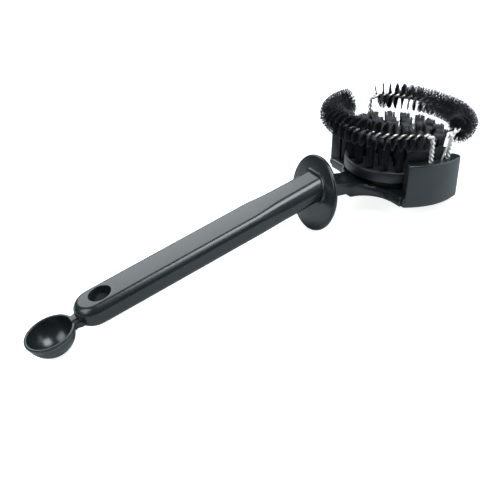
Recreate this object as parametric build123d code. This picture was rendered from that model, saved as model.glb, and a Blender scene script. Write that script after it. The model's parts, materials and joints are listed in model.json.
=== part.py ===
"""Group-head cleaning brush for a coffee machine, with a detergent measuring spoon.

Frame, in millimetres: the origin is the centre of the head's flat underside, +Z points the way the
bristles stand, +X runs from the handle towards the far side of the head, and the XZ plane mirrors the
whole tool.  The handle slopes down from the head towards -X.
"""
from build123d import *
import os
from math import atan2, cos, degrees, radians, sin, tan

# ---- Head: fork frame with two curved jaws ----
head_radius = 35.0              # outside of the jaws
jaw_band = 5.4                  # radial thickness of the outer band, which is also the ledge's width
ledge_height = 21.6             # top of the ledge above the underside
jaw_angle_near = 27.0           # how far each jaw reaches round from the Y axis, handle side
jaw_angle_far = 28.3            # the same, on the far side
jaw_foot_chamfer = 2.0          # outer lower edge
jaw_top_chamfer = 0.6           # outer upper edge
plate_thickness = 5.0           # crossbar under the brush
crossbar_near = 17.0            # crossbar's edge on the handle side, from the centre
crossbar_far = 13.0             # crossbar's edge on the far side
pedestal_radius = 20.0          # round seat under the brush base
pedestal_height = 3.2

# ---- Neck between the crossbar and the guard ----
neck_width = 16.8
neck_top = 9.6                  # top of the neck where it meets the guard
neck_bottom = 2.5               # its underside, above the head's underside
neck_flare_radius = 12.8        # concave sweep from the neck into the crossbar
neck_step_start = 33.0          # the underside starts to step down here, from the centre
neck_step_end = 30.0            # and is level with the head's underside here
neck_slope_end = 14.5           # the neck's sloping top reaches the crossbar's level here
neck_edge_round = 1.2

# ---- Inner wall of each jaw ----
liner_thickness = 3.1
liner_height = 26.1             # top of the inner wall above the underside
liner_gap = 0.4                 # dark line between the inner wall and the ledge
liner_angle_far = 17.0          # the wall stops short of the jaw's far end
liner_end_chamfer = 1.2
tongue_angle = 14.0             # the tongue under the wall reaches this far each way
tongue_thickness = 1.6
tongue_depth = 2.8
tongue_clearance = 0.1

# ---- Brush base ----
base_radius = 24.0
base_thickness = 5.4
base_rim_chamfer = 0.6
spigot_radius = 7.0             # plugs into the frame
spigot_length = 5.4
spigot_clearance = 0.05         # radial
spigot_floor = 2.0              # floor left under the spigot's bore

# ---- Tufts and their anchors ----
tuft_rings = (                  # name, count, ring radius, outward lean in degrees
    ("centre", 1, 0.0, 0.0),
    ("inner", 6, 7.0, 1.3),
    ("middle", 12, 14.0, 2.7),
    ("outer", 18, 20.9, 4.0),
)
tuft_root_radius = 1.5
tuft_tip_radius = 2.15
tuft_reach = 15.9               # free length above the base
tuft_hole_depth = 4.2
tuft_hole_clearance = 0.03
anchor_width = 3.7              # wider than the hole, so that it bites into the wall
anchor_thickness = 0.35
anchor_height = 1.6

# ---- Twisted-wire brushes ----
wire_inset = 3.7                # middle of the arc, in from the outside of the jaws
wire_height = 34.3              # middle of the wire above the underside
strand_radius = 0.55            # one of the two strands
strand_gap = 0.1                # between the two strands
wire_corner_radius = 3.0        # bend from leg to arc, at the middle of the pair
leg_angle_handle_side = 6.2     # legs' place round from the Y axis
leg_angle_far_side = 13.3
socket_depth = 14.0
socket_clearance = 0.05         # radial, round the pair of strands
leg_end_gap = 0.4               # between the leg's end and the socket's floor
bristle_radius = 6.8            # outside of the spiral brush
bristle_core_clearance = 0.1    # round the pair of strands
bristle_start = 1.0             # bare wire after the corner, in degrees of arc

# ---- Splash guard ----
guard_radius = 18.3
guard_thickness = 2.2
guard_edge_round = 0.9
guard_x = -46.13                # centre of the disc
guard_z = 2.69
guard_lean = 7.65               # the disc's top leans towards the head
collar_wall = 1.1               # lip round the end of the handle
collar_height = 1.0
collar_clearance = 0.1

# ---- Handle ----
handle_pitch = 17.9             # slope below the head's plane
handle_root_x = -47.2           # where the handle's axis meets the guard
handle_root_z = 6.5
handle_length = 126.0           # along the axis, to the rounded end
handle_width = 19.0
handle_height = 10.3
handle_edge = 3.0               # edge radius along the grip
shoulder_start = 24.0           # the slimmer top face widens between these two places
shoulder_end = 44.0
shoulder_edge = 4.6             # edge radius of the slimmer stretch by the guard
shoulder_width = 18.0
hanging_hole_radius = 5.14
hanging_hole_place = 112.4      # along the axis
tang_width = 10.0               # the frame's tang inside the handle
tang_height = 3.6
tang_length = 16.0
tang_clearance = 0.1
tang_root = 1.0                 # how far the tang starts back inside the neck

# ---- Measuring spoon ----
spoon_place = 139.0             # bowl's centre along the handle's axis
spoon_outer_radius = 11.66      # edge of the flat rim
spoon_wall = 1.0
spoon_rim_width = 1.3
spoon_rim_thickness = 1.3
spoon_neck_width = 9.0
spoon_neck_height = 4.2
spoon_rib_width = 5.0           # raised rib along the neck
spoon_rib_height = 0.8
spoon_tang_length = 6.0
spoon_tang_clearance = 0.1

# ---- Values that follow from the sizes above ----
jaw_inner_radius = head_radius - jaw_band
liner_outer_radius = jaw_inner_radius - liner_gap
liner_inner_radius = liner_outer_radius - liner_thickness
base_bottom = plate_thickness + pedestal_height
base_top = base_bottom + base_thickness
wire_arc_radius = head_radius - wire_inset
strand_spacing = 2 * strand_radius + strand_gap
pair_radius = strand_spacing / 2 + strand_radius
socket_radius = pair_radius + socket_clearance
leg_bottom = ledge_height - socket_depth + leg_end_gap
handle_plane = Plane(
    origin=(handle_root_x, 0, handle_root_z),
    x_dir=(-cos(radians(handle_pitch)), 0, -sin(radians(handle_pitch))),
    z_dir=(-sin(radians(handle_pitch)), 0, cos(radians(handle_pitch))),
)
guard_plane = Plane(            # its normal points towards the handle
    origin=(guard_x, 0, guard_z),
    x_dir=(0, 1, 0),
    z_dir=(-cos(radians(guard_lean)), 0, sin(radians(guard_lean))),
)
guard_handle_face = guard_plane.offset(guard_thickness / 2)
guard_head_face = guard_plane.offset(-guard_thickness / 2)


def ring_sector(inner, outer, low, high, angle_near, angle_far, side):
    """A curved wall about the Z axis, facing +Y for side 1 and -Y for side -1."""
    start = 90 - angle_far
    span = angle_near + angle_far
    profile = Plane.XZ * Rectangle(outer - inner, high - low, align=(Align.MIN, Align.MIN))
    profile = Pos(inner, 0, low) * profile
    wall = Rot(0, 0, start) * revolve(profile, Axis.Z, span)
    return wall if side > 0 else mirror(wall, Plane.XZ)


def outer_edges(solid, radius, height):
    """Circular edges of the given radius about the Z axis at the given height."""
    circles = solid.edges().filter_by(GeomType.CIRCLE)
    return [e for e in circles if abs(e.radius - radius) < 1e-3 and abs(e.center().Z - height) < 1e-3]


def arc_half_angle(leg_angle):
    """Half the angle that a wire's arc spans about the Z axis, in radians."""
    return radians(90 - leg_angle) - atan2(wire_corner_radius, wire_arc_radius)


def make_jaw(side):
    """The outer band of one jaw, with its chamfered foot and rim."""
    jaw = ring_sector(jaw_inner_radius, head_radius, 0, ledge_height, jaw_angle_near, jaw_angle_far, side)
    jaw = chamfer(outer_edges(jaw, head_radius, 0), jaw_foot_chamfer)
    return chamfer(outer_edges(jaw, head_radius, ledge_height), jaw_top_chamfer)


def make_fork_plate():
    """Crossbar, flared neck and the stepped underside, as one plate."""
    neck_half = neck_width / 2
    flare_end = crossbar_near + neck_flare_radius
    foot_radius = head_radius - jaw_foot_chamfer
    reach = (foot_radius ** 2 - crossbar_near ** 2) ** 0.5
    neck_end = -guard_x + guard_radius
    sweep_centre = (-flare_end, neck_half + neck_flare_radius)
    half = Polyline(
        (-neck_end, 0), (-neck_end, neck_half), (-flare_end, neck_half),
        (-crossbar_near, neck_half), (-crossbar_near, reach), (crossbar_far, reach), (crossbar_far, 0),
        close=True,
    )
    outline = make_face(half)
    web = Pos(-flare_end, neck_half) * Rectangle(
        neck_flare_radius, neck_flare_radius, align=(Align.MIN, Align.MIN))
    web -= Pos(*sweep_centre) * Circle(neck_flare_radius)
    outline += web
    outline += mirror(outline, Plane.XZ)
    profile = make_face(Plane.XZ * Polyline(
        (-neck_end, neck_bottom), (-neck_step_start, neck_bottom), (-neck_step_end, 0),
        (crossbar_far, 0), (crossbar_far, plate_thickness), (-neck_slope_end, plate_thickness),
        (guard_x, neck_top), (-neck_end, neck_top), close=True,
    ))
    plate = extrude(outline, neck_top) & extrude(profile, head_radius, both=True)
    round_edges = [
        e for e in plate.edges()
        if e.center().Z > plate_thickness and abs(e.center().Y) > neck_half - 0.01
        and -neck_end + 0.01 < e.center().X < -crossbar_near + 0.01
    ]
    return fillet(round_edges, neck_edge_round)


def wire_leg_place(leg_angle, side, far):
    """Where a wire leg enters the ledge: side is 1 or -1 in Y, far is 1 on the far side."""
    radius = (wire_arc_radius ** 2 + wire_corner_radius ** 2) ** 0.5
    angle = radians(leg_angle)
    return Vector(far * radius * sin(angle), side * radius * cos(angle), 0)


def make_head_frame():
    """Fork frame: neck with its tang, crossbar, pedestal and the outer bands of the jaws."""
    frame = make_fork_plate()
    for side in (1, -1):
        frame += make_jaw(side)
        frame += ring_sector(liner_inner_radius, jaw_inner_radius + 0.5, 0, plate_thickness,
                             jaw_angle_near, jaw_angle_far, side)
    frame += Pos(0, 0, plate_thickness) * Cylinder(
        pedestal_radius, pedestal_height, align=(Align.CENTER, Align.CENTER, Align.MIN))
    frame = split(frame, bisect_by=guard_head_face, keep=Keep.BOTTOM)
    frame += handle_plane.location * make_tang(0)
    frame -= Pos(0, 0, spigot_floor) * Cylinder(
        spigot_radius + spigot_clearance, base_bottom, align=(Align.CENTER, Align.CENTER, Align.MIN))
    socket = Cylinder(socket_radius, socket_depth, align=(Align.CENTER, Align.CENTER, Align.MAX))
    for side in (1, -1):
        for leg_angle, far in ((leg_angle_handle_side, -1), (leg_angle_far_side, 1)):
            place = wire_leg_place(leg_angle, side, far)
            frame -= Pos(place.X, place.Y, ledge_height) * socket
        frame -= make_tongue(side, tongue_clearance)
    return frame


def make_tang(clearance):
    """The frame's tang, along the handle's own axis; with a clearance, the hole that takes it."""
    back = tang_root + guard_thickness
    tang = Box(back + tang_length + clearance, tang_width + 2 * clearance, tang_height + 2 * clearance,
               align=(Align.MIN, Align.CENTER, Align.CENTER))
    return Pos(-back, 0, 0) * tang


def make_tongue(side, clearance):
    """The tongue under an inner wall; with a clearance, the slot that takes it."""
    middle = (liner_inner_radius + liner_outer_radius) / 2
    half = tongue_thickness / 2 + clearance
    spread = tongue_angle + degrees(clearance / middle)
    return ring_sector(middle - half, middle + half, plate_thickness - tongue_depth - clearance,
                       plate_thickness + clearance, spread, spread, side)


def make_jaw_liner(side):
    """The taller inner wall of one jaw, standing on the crossbar by its tongue."""
    liner = ring_sector(liner_inner_radius, liner_outer_radius, plate_thickness, liner_height,
                        jaw_angle_near, liner_angle_far, side)
    uprights = [
        e for e in liner.edges().filter_by(Axis.Z)
        if (e.center().X ** 2 + e.center().Y ** 2) ** 0.5 < liner_inner_radius + 0.1
    ]
    liner = chamfer(uprights, liner_end_chamfer)
    return liner + make_tongue(side, 0)


def tuft_locations(count, ring_radius, lean):
    """Location of each tuft at the bottom of its hole, leaning outwards from the centre."""
    depth_shift = tuft_hole_depth * tan(radians(lean))
    places = []
    for index in range(count):
        turn = Rot(0, 0, 360 * index / count)
        places.append(turn * Pos(ring_radius - depth_shift, 0, base_top - tuft_hole_depth) * Rot(0, lean, 0))
    return places


def make_tuft():
    """One tuft, standing on the bottom of its hole and flaring above the base."""
    length = tuft_hole_depth + tuft_reach
    outline = Plane.XZ * make_face(Polyline(
        (0, 0), (tuft_root_radius, 0), (tuft_root_radius, tuft_hole_depth),
        (tuft_tip_radius, length), (0, length), close=True))
    return revolve(outline, Axis.Z) - make_anchor()


def make_anchor():
    """The flat metal anchor that nails a folded tuft into its hole."""
    return Box(anchor_thickness, anchor_width, anchor_height, align=(Align.CENTER, Align.CENTER, Align.MIN))


def make_brush_base():
    """Round base of the screen brush, with a drilled hole for each tuft."""
    base = Pos(0, 0, base_bottom) * Cylinder(
        base_radius, base_thickness, align=(Align.CENTER, Align.CENTER, Align.MIN))
    base = chamfer(outer_edges(base, base_radius, base_top), base_rim_chamfer)
    drill = Cylinder(tuft_root_radius + tuft_hole_clearance, 2 * tuft_hole_depth,
                     align=(Align.CENTER, Align.CENTER, Align.MIN))
    cutter = drill + make_anchor()
    cuts = [place * cutter for _, count, ring, lean in tuft_rings for place in tuft_locations(count, ring, lean)]
    return base - cuts


def make_base_spigot():
    """The plug under the base, which holds the screen brush in the frame's bore."""
    return Pos(0, 0, base_bottom) * Cylinder(
        spigot_radius, spigot_length, align=(Align.CENTER, Align.CENTER, Align.MAX))


def make_strand(leg_angle, far, offset):
    """One strand of a twisted pair: leg, corner, arc round the head, corner, leg.

    Far is 1 for the far-side brush and -1 for the handle-side one.  A positive offset is the strand on
    the outside of the corners, which lies above the pair's middle on the arc.
    """
    turn = arc_half_angle(leg_angle)
    bend = wire_corner_radius + offset
    corner_height = wire_height - wire_corner_radius

    def end_points(side):
        arc_end = Vector(wire_arc_radius * cos(turn), side * wire_arc_radius * sin(turn), 0)
        outward = Vector(-sin(turn), side * cos(turn), 0)
        foot = arc_end + outward * bend
        middle = arc_end + outward * (bend * cos(radians(45)))
        return (
            foot + Vector(0, 0, leg_bottom),
            foot + Vector(0, 0, corner_height),
            middle + Vector(0, 0, corner_height + bend * sin(radians(45))),
            arc_end + Vector(0, 0, corner_height + bend),
        )

    first, last = end_points(-1), end_points(1)
    path = Wire([
        Line(first[0], first[1]).edge(),
        ThreePointArc(first[1], first[2], first[3]).edge(),
        ThreePointArc(first[3], (wire_arc_radius, 0, corner_height + bend), last[3]).edge(),
        ThreePointArc(last[3], last[2], last[1]).edge(),
        Line(last[1], last[0]).edge(),
    ])
    strand = sweep(Plane(first[0]) * Circle(strand_radius), path=path)
    return strand if far > 0 else mirror(strand, Plane.YZ)


def make_bristle_sleeve(leg_angle, far):
    """Outer shape of one spiral brush, with the room that its wire pair takes."""
    half = degrees(arc_half_angle(leg_angle)) - bristle_start
    ring = Circle(bristle_radius) - Circle(pair_radius + bristle_core_clearance)
    ring = Plane.XZ * Pos(wire_arc_radius, wire_height) * ring
    sleeve = Rot(0, 0, -half) * revolve(ring, Axis.Z, 2 * half)
    return sleeve if far > 0 else mirror(sleeve, Plane.YZ)


def handle_section(width, edge, place):
    """The handle's rounded section, at a place along its own axis."""
    return Plane.YZ.offset(place) * RectangleRounded(width, handle_height, edge)


def make_handle_body(back):
    """Solid outer shape of the handle on its own axis, starting at the given distance back."""
    round_centre = handle_length - handle_width / 2
    outline = Pos((shoulder_end + round_centre) / 2, 0) * Rectangle(
        round_centre - shoulder_end, handle_width)
    outline += Pos(round_centre, 0) * Circle(handle_width / 2)
    grip = extrude(outline, handle_height / 2, both=True)
    rims = [
        e for e in grip.edges()
        if abs(abs(e.center().Z) - handle_height / 2) < 1e-3 and e.center().X > shoulder_end + 0.1
    ]
    grip = fillet(rims, handle_edge)
    shoulder = loft([
        handle_section(shoulder_width, shoulder_edge, shoulder_start),
        handle_section(handle_width, handle_edge, shoulder_end),
    ])
    slim = extrude(handle_section(shoulder_width, shoulder_edge, -back), back + shoulder_start)
    return slim + shoulder + grip


def make_handle():
    """Handle with the socket for the frame's tang, the spoon's socket and the hanging hole."""
    handle = make_handle_body(guard_radius / 2)
    handle -= make_tang(tang_clearance)
    handle -= make_spoon_neck(spoon_tang_clearance)
    handle -= Pos(hanging_hole_place, 0, 0) * Cylinder(hanging_hole_radius, 2 * handle_height)
    return split(handle_plane.location * handle, bisect_by=guard_handle_face, keep=Keep.TOP)


def make_splash_guard():
    """Thin disc between the neck and the handle, with a lip round the handle's end."""
    disc = Cylinder(guard_radius, guard_thickness)
    disc = guard_plane.location * fillet(disc.edges().filter_by(GeomType.CIRCLE), guard_edge_round)
    inner, outer = collar_clearance, collar_clearance + collar_wall
    sections = [
        RectangleRounded(shoulder_width + 2 * grow, handle_height + 2 * grow, shoulder_edge + grow)
        for grow in (outer, inner)
    ]
    lip = extrude(Plane.YZ * (sections[0] - sections[1]), guard_radius / 2, both=True)
    lip = split(handle_plane.location * lip, bisect_by=guard_handle_face, keep=Keep.TOP)
    lip = split(lip, bisect_by=guard_handle_face.offset(collar_height), keep=Keep.BOTTOM)
    return disc + lip - handle_plane.location * make_tang(tang_clearance)


def make_spoon_neck(clearance):
    """Flat bar from inside the handle to the bowl; with a clearance, the socket that takes it."""
    length = spoon_place - spoon_outer_radius + spoon_rim_width - handle_length + spoon_tang_length
    bar = Box(length + clearance, spoon_neck_width + 2 * clearance, spoon_neck_height + 2 * clearance,
              align=(Align.MIN, Align.CENTER, Align.MAX))
    return Pos(handle_length - spoon_tang_length - clearance, 0, clearance) * bar


def make_spoon():
    """Measuring spoon: a thin half-round bowl with a flat rim, its ribbed neck and tang."""
    inner = spoon_outer_radius - spoon_rim_width
    outer = inner + spoon_wall
    wall_meets_rim = (outer ** 2 - spoon_rim_thickness ** 2) ** 0.5
    outline = Line((0, -outer), (0, 0))
    outline += Line((0, 0), (spoon_outer_radius, 0))
    outline += Line((spoon_outer_radius, 0), (spoon_outer_radius, -spoon_rim_thickness))
    outline += Line((spoon_outer_radius, -spoon_rim_thickness), (wall_meets_rim, -spoon_rim_thickness))
    middle = atan2(spoon_rim_thickness, wall_meets_rim) / 2 + radians(45)
    outline += ThreePointArc(
        (wall_meets_rim, -spoon_rim_thickness), (outer * cos(middle), -outer * sin(middle)), (0, -outer))
    bowl = revolve(Plane.XZ * make_face(outline), Axis.Z)
    rib_start = handle_length + spoon_tang_clearance
    rib_end = spoon_place - spoon_outer_radius + spoon_rim_width / 2
    rib = Pos(rib_start, 0, 0) * Box(rib_end - rib_start, spoon_rib_width, spoon_rib_height,
                                     align=(Align.MIN, Align.CENTER, Align.MIN))
    hollow = revolve(Plane.XZ * make_face(
        Line((0, -inner), (0, inner)) + ThreePointArc((0, inner), (inner, 0), (0, -inner))), Axis.Z)
    spoon = Pos(spoon_place, 0, 0) * bowl + make_spoon_neck(0) + rib
    return handle_plane.location * (spoon - Pos(spoon_place, 0, 0) * hollow)


def make_parts():
    """Every node by its name; a node of several pieces is a compound of separate solids."""
    parts = {
        "handle_grip": make_handle(),
        "measuring_spoon": make_spoon(),
        "splash_guard": make_splash_guard(),
        "head_frame": make_head_frame(),
        "left_jaw_liner": make_jaw_liner(1),
        "right_jaw_liner": make_jaw_liner(-1),
        "brush_base": make_brush_base(),
        "base_spigot": make_base_spigot(),
    }
    for name, count, ring, lean in tuft_rings:
        places = tuft_locations(count, ring, lean)
        parts["tufts_" + name] = Compound(children=[Part((place * make_tuft()).wrapped) for place in places])
        parts["anchors_" + name] = Compound(children=[Part((place * make_anchor()).wrapped) for place in places])
    for name, leg_angle, far in (
        ("handle_side", leg_angle_handle_side, -1), ("far_side", leg_angle_far_side, 1),
    ):
        parts[name + "_upper_strand"] = make_strand(leg_angle, far, strand_spacing / 2)
        parts[name + "_lower_strand"] = make_strand(leg_angle, far, -strand_spacing / 2)
        parts[name + "_bristles"] = make_bristle_sleeve(leg_angle, far)
    return parts


os.makedirs("parts", exist_ok=True)
for node, shape in make_parts().items():
    export_step(shape, f"parts/{node}.step")
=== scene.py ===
"""Looks of a group-head cleaning brush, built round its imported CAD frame.

Every piece is in metres in the row frame: the origin is the centre of the head's flat underside, +Z the way
the bristles stand and +X from the handle to the head's far side.  Places come from the frame's boxes and
mounts; a piece that replaces a CAD node rides on that node's body.
"""

import json
import logging
import math
from contextlib import contextmanager
from dataclasses import dataclass
from enum import Enum
from typing import Callable, Iterator, Sequence

import bpy
import numpy as np
from mathutils import Matrix, Vector


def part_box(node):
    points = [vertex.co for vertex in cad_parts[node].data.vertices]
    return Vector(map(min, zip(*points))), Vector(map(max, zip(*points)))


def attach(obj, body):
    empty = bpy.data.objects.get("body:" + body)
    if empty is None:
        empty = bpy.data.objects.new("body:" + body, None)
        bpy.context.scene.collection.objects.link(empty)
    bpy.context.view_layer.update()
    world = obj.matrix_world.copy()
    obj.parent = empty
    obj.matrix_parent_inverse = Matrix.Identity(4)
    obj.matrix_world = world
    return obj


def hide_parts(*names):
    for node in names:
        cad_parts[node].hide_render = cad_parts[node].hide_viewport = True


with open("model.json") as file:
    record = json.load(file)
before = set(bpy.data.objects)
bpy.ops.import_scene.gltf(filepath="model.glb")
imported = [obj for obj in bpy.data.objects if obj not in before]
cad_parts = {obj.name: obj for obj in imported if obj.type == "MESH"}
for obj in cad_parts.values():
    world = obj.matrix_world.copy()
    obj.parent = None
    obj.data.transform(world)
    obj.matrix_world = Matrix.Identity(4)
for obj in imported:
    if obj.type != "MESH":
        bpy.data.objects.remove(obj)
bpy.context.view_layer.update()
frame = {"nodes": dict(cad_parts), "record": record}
LOG = logging.getLogger("brush")
MM = 0.001
SEED = 58
FULL_TURN = 2 * math.pi
QUARTER = math.pi / 2

Piece = bpy.types.Object
Tree = bpy.types.NodeTree
Socket = bpy.types.NodeSocket
Point = tuple[float, float, float]
Colour = tuple[float, float, float]
Corners = Sequence[tuple[float, float, float]]
Rings = list[tuple[float, np.ndarray]]
Template = tuple[np.ndarray, list[tuple[int, ...]]]


class Hand(Enum):
    """The side of the head, looking along the handle with the bristles up."""

    LEFT = 1
    RIGHT = -1


class Arc(Enum):
    """Which of the two arched brushes, by the sign of X at its middle."""

    HANDLE_SIDE = -1
    FAR_SIDE = 1


# ---- Small modelling tools ----
def deselect() -> None:
    """Leaves edit mode and deselects every object."""
    if bpy.context.object is not None and bpy.context.object.mode != "OBJECT":
        bpy.ops.object.mode_set(mode="OBJECT")
    bpy.ops.object.select_all(action="DESELECT")


def take(piece: Piece) -> Piece:
    """Makes one object the selected and active one.

    Args:
        piece: The object.

    Returns:
        The same object.
    """
    deselect()
    piece.select_set(True)
    bpy.context.view_layer.objects.active = piece
    return piece


@contextmanager
def editing(piece: Piece) -> Iterator[None]:
    """Edit mode on one object with its whole mesh selected, left again at the end.

    Args:
        piece: The object.

    Returns:
        The context of a with statement.
    """
    take(piece)
    bpy.ops.object.mode_set(mode="EDIT")
    bpy.ops.mesh.select_all(action="SELECT")
    yield
    bpy.ops.object.mode_set(mode="OBJECT")


def link_new(name: str, data: bpy.types.ID) -> Piece:
    """Puts a mesh, curve, light or camera into the scene as a selected and active object.

    Args:
        name: The new object's name.
        data: The mesh, curve, light or camera.

    Returns:
        The new object.
    """
    piece = bpy.data.objects.new(name, data)
    bpy.context.scene.collection.objects.link(piece)
    return take(piece)


def link_mesh(name: str, points: Sequence, edges: Sequence, faces: Sequence) -> Piece:
    """Makes a mesh object of points in metres, edges and faces.

    Args:
        name: The new object's name.
        points: Rows of three coordinates.
        edges: Pairs of point numbers.
        faces: Loops of point numbers.

    Returns:
        The new object.
    """
    mesh = bpy.data.meshes.new(name)
    mesh.from_pydata(points, edges, faces)
    mesh.update()
    return link_new(name, mesh)


def tidy(piece: Piece, merge: float = 1e-6) -> None:
    """Merges doubles and turns every face outwards.

    Args:
        piece: The object.
        merge: Points nearer than this become one, in metres.
    """
    with editing(piece):
        bpy.ops.mesh.remove_doubles(threshold=merge)
        bpy.ops.mesh.normals_make_consistent(inside=False)


def close_holes(piece: Piece) -> None:
    """Fills every open boundary with one face."""
    with editing(piece):
        bpy.ops.mesh.fill_holes(sides=0)


def trim(piece: Piece, plane: tuple[Vector, Vector], **side: bool) -> None:
    """Cuts a piece at a plane and closes the cut.

    Args:
        piece: The object.
        plane: A point on the plane and the plane's normal.
        **side: clear_inner or clear_outer, the side that goes.
    """
    with editing(piece):
        bpy.ops.mesh.bisect(plane_co=plane[0], plane_no=plane[1], use_fill=True, **side)
    tidy(piece)


def spin_profile(name: str, outline: Sequence[tuple[float, float]], steps: int, closed: bool = True) -> Piece:
    """Turns a radius and height outline about the Z axis.

    Args:
        name: The new object's name.
        outline: Pairs of radius and height, in millimetres.
        steps: Sections in the turn.
        closed: Whether the outline's last point joins its first.

    Returns:
        The closed, outward-facing object.
    """
    count = len(outline)
    edges = [(i, (i + 1) % count) for i in range(count if closed else count - 1)]
    piece = link_mesh(name, [(r * MM, 0.0, z * MM) for r, z in outline], edges, [])
    with editing(piece):
        bpy.ops.mesh.spin(steps=steps, angle=FULL_TURN, center=(0, 0, 0), axis=(0, 0, 1))
    tidy(piece)
    return piece


def cut(piece: Piece, cutter: Piece) -> None:
    """Takes one solid away from another and deletes the cutter.

    Args:
        piece: The solid that stays.
        cutter: The solid that is taken away.
    """
    take(piece)
    modifier = piece.modifiers.new("boolean", "BOOLEAN")
    modifier.operation, modifier.object, modifier.solver = "DIFFERENCE", cutter, "EXACT"
    bpy.ops.object.modifier_apply(modifier=modifier.name)
    bpy.data.objects.remove(cutter, do_unlink=True)


def join(pieces: Sequence[Piece], name: str) -> Piece:
    """Joins objects into the first one and names it.

    Args:
        pieces: The objects.
        name: The name of the result.

    Returns:
        The first object, which holds all the meshes.
    """
    deselect()
    for piece in pieces:
        piece.select_set(True)
    bpy.context.view_layer.objects.active = pieces[0]
    if len(pieces) > 1:
        bpy.ops.object.join()
    pieces[0].name = name
    pieces[0].data.name = name
    return pieces[0]


def cylinder(radius: float, low: float, high: float, sides: int, x: float = 0.0, y: float = 0.0) -> Piece:
    """An upright cylinder between two heights, in millimetres.

    Args:
        radius: Its radius.
        low: Height of its lower end.
        high: Height of its upper end.
        sides: Sides round it.
        x: The axis's place along X.
        y: The axis's place along Y.

    Returns:
        The cylinder.
    """
    low, high = low * MM, high * MM
    deselect()
    bpy.ops.mesh.primitive_cylinder_add(
        vertices=sides, radius=radius * MM, depth=high - low, location=(x * MM, y * MM, (low + high) / 2))
    bpy.ops.object.transform_apply(location=True, rotation=True, scale=True)
    return bpy.context.object


def place_mesh(piece: Piece, matrix: Matrix) -> None:
    """Moves the mesh itself, so that the object stays at the origin."""
    piece.data.transform(matrix)
    piece.data.update()


def smooth(piece: Piece, angle: float) -> None:
    """Smooth shading that keeps edges sharper than the angle, in degrees."""
    take(piece)
    bpy.ops.object.shade_smooth_by_angle(angle=math.radians(angle))


def matrix_of(*columns: Vector) -> Matrix:
    """The placing matrix of three axes and an origin."""
    return Matrix([[column[k] for column in columns] for k in range(3)] + [[0, 0, 0, 1]])


def mean_radius(corners: Corners) -> float:
    """The middle of a turned section's radii."""
    return sum(r for r, _, _ in corners) / len(corners)


def rounded_outline(corners: Corners, segments: int) -> np.ndarray:
    """A closed outline with rounded corners.

    Args:
        corners: Each corner's two coordinates and its radius, in order round the outline.
        segments: Pieces in each corner's arc.

    Returns:
        One row of two coordinates for each of the outline's points.
    """
    points = []
    count = len(corners)
    for i, (x, y, radius) in enumerate(corners):
        here = Vector((x, y))
        before = (Vector(corners[i - 1][:2]) - here).normalized()
        after = (Vector(corners[(i + 1) % count][:2]) - here).normalized()
        half = before.angle(after) / 2
        reach = radius / math.tan(half)
        centre = here + (before + after).normalized() * (radius / math.sin(half))
        first, last = here + before * reach - centre, here + after * reach - centre
        swing = math.pi - 2 * half
        sign = 1 if first.x * last.y - first.y * last.x > 0 else -1
        for k in range(segments + 1):
            turn = sign * swing * k / segments
            c, s = math.cos(turn), math.sin(turn)
            points.append((centre.x + first.x * c - first.y * s, centre.y + first.x * s + first.y * c))
    return np.array(points)


def loft(name: str, sections: Sequence[np.ndarray], capped: bool = True) -> Piece:
    """Skins a row of closed sections that have equally many points.

    The first section is a circle primitive laid on its outline; each further one is extruded from it.

    Args:
        name: The new object's name.
        sections: Arrays of points in metres, one row of three coordinates each.
        capped: Whether both ends are filled.

    Returns:
        The outward-facing object.
    """
    count = len(sections[0])
    deselect()
    bpy.ops.mesh.primitive_circle_add(vertices=count, radius=1.0, fill_type="NOTHING")
    piece = bpy.context.object
    piece.name = name
    with editing(piece):
        for _ in sections[1:]:
            bpy.ops.mesh.extrude_region_move(TRANSFORM_OT_translate={"value": (0, 0, 1)})
    vertices = piece.data.vertices

    def ring_place(index: int) -> tuple[int, float]:
        """A point's ring and its angle there, with a hair under a full turn read as none."""
        spot = vertices[index].co
        return round(spot.z), round(math.atan2(spot.y, spot.x) % FULL_TURN, 4) % 6.2831

    for place, index in enumerate(sorted(range(len(vertices)), key=ring_place)):
        vertices[index].co = sections[place // count][place % count]
    piece.data.update()
    if capped:
        close_holes(piece)
    tidy(piece)
    return piece


def clamp(value: float) -> float:
    """The value, kept between 0 and 1."""
    return min(1.0, max(0.0, value))


def smoothstep(low: float, high: float, value: float) -> float:
    """0 below low, 1 above high and an even S between them."""
    t = clamp((value - low) / (high - low))
    return t * t * (3 - 2 * t)


# ---- Places read from the frame ----
@dataclass(frozen=True)
class Places:
    """Where the frame puts the things that the pieces are built round.

    Lengths are in millimetres; the two vectors are the hanging hole's place in metres and its axis.
    """

    ledge: float
    wall_top: float
    base_low: float
    base_high: float
    wire_height: float
    tuft_tip: float
    guard_far: float
    guard_height: float
    hole: Vector
    handle_up: Vector

    @classmethod
    def read(cls) -> "Places":
        """Takes each place from a node's box or from a mount of the record.

        Returns:
            The places.
        """
        liner_lip, strand = 4.5 * MM, 0.55 * MM
        hole = {mount["name"]: mount for mount in frame["record"]["mounts"]}["hanging_hole"]
        guard_low, guard_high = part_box("splash_guard")
        wall_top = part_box("left_jaw_liner")[1].z
        strands = [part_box(f"far_side_{label}_strand")[1].z for label in ("upper", "lower")]
        return cls(
            ledge=(wall_top - liner_lip) / MM,
            wall_top=wall_top / MM,
            base_low=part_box("head_frame")[0].z / MM,
            base_high=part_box("brush_base")[1].z / MM,
            wire_height=(sum(strands) / 2 - strand) / MM,
            tuft_tip=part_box("tufts_centre")[1].z / MM,
            guard_far=guard_high.x / MM,
            guard_height=((guard_low + guard_high) / 2).z / MM,
            hole=Vector(hole["pos_m"]),
            handle_up=Vector(hole["axis"]).normalized(),
        )


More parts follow.
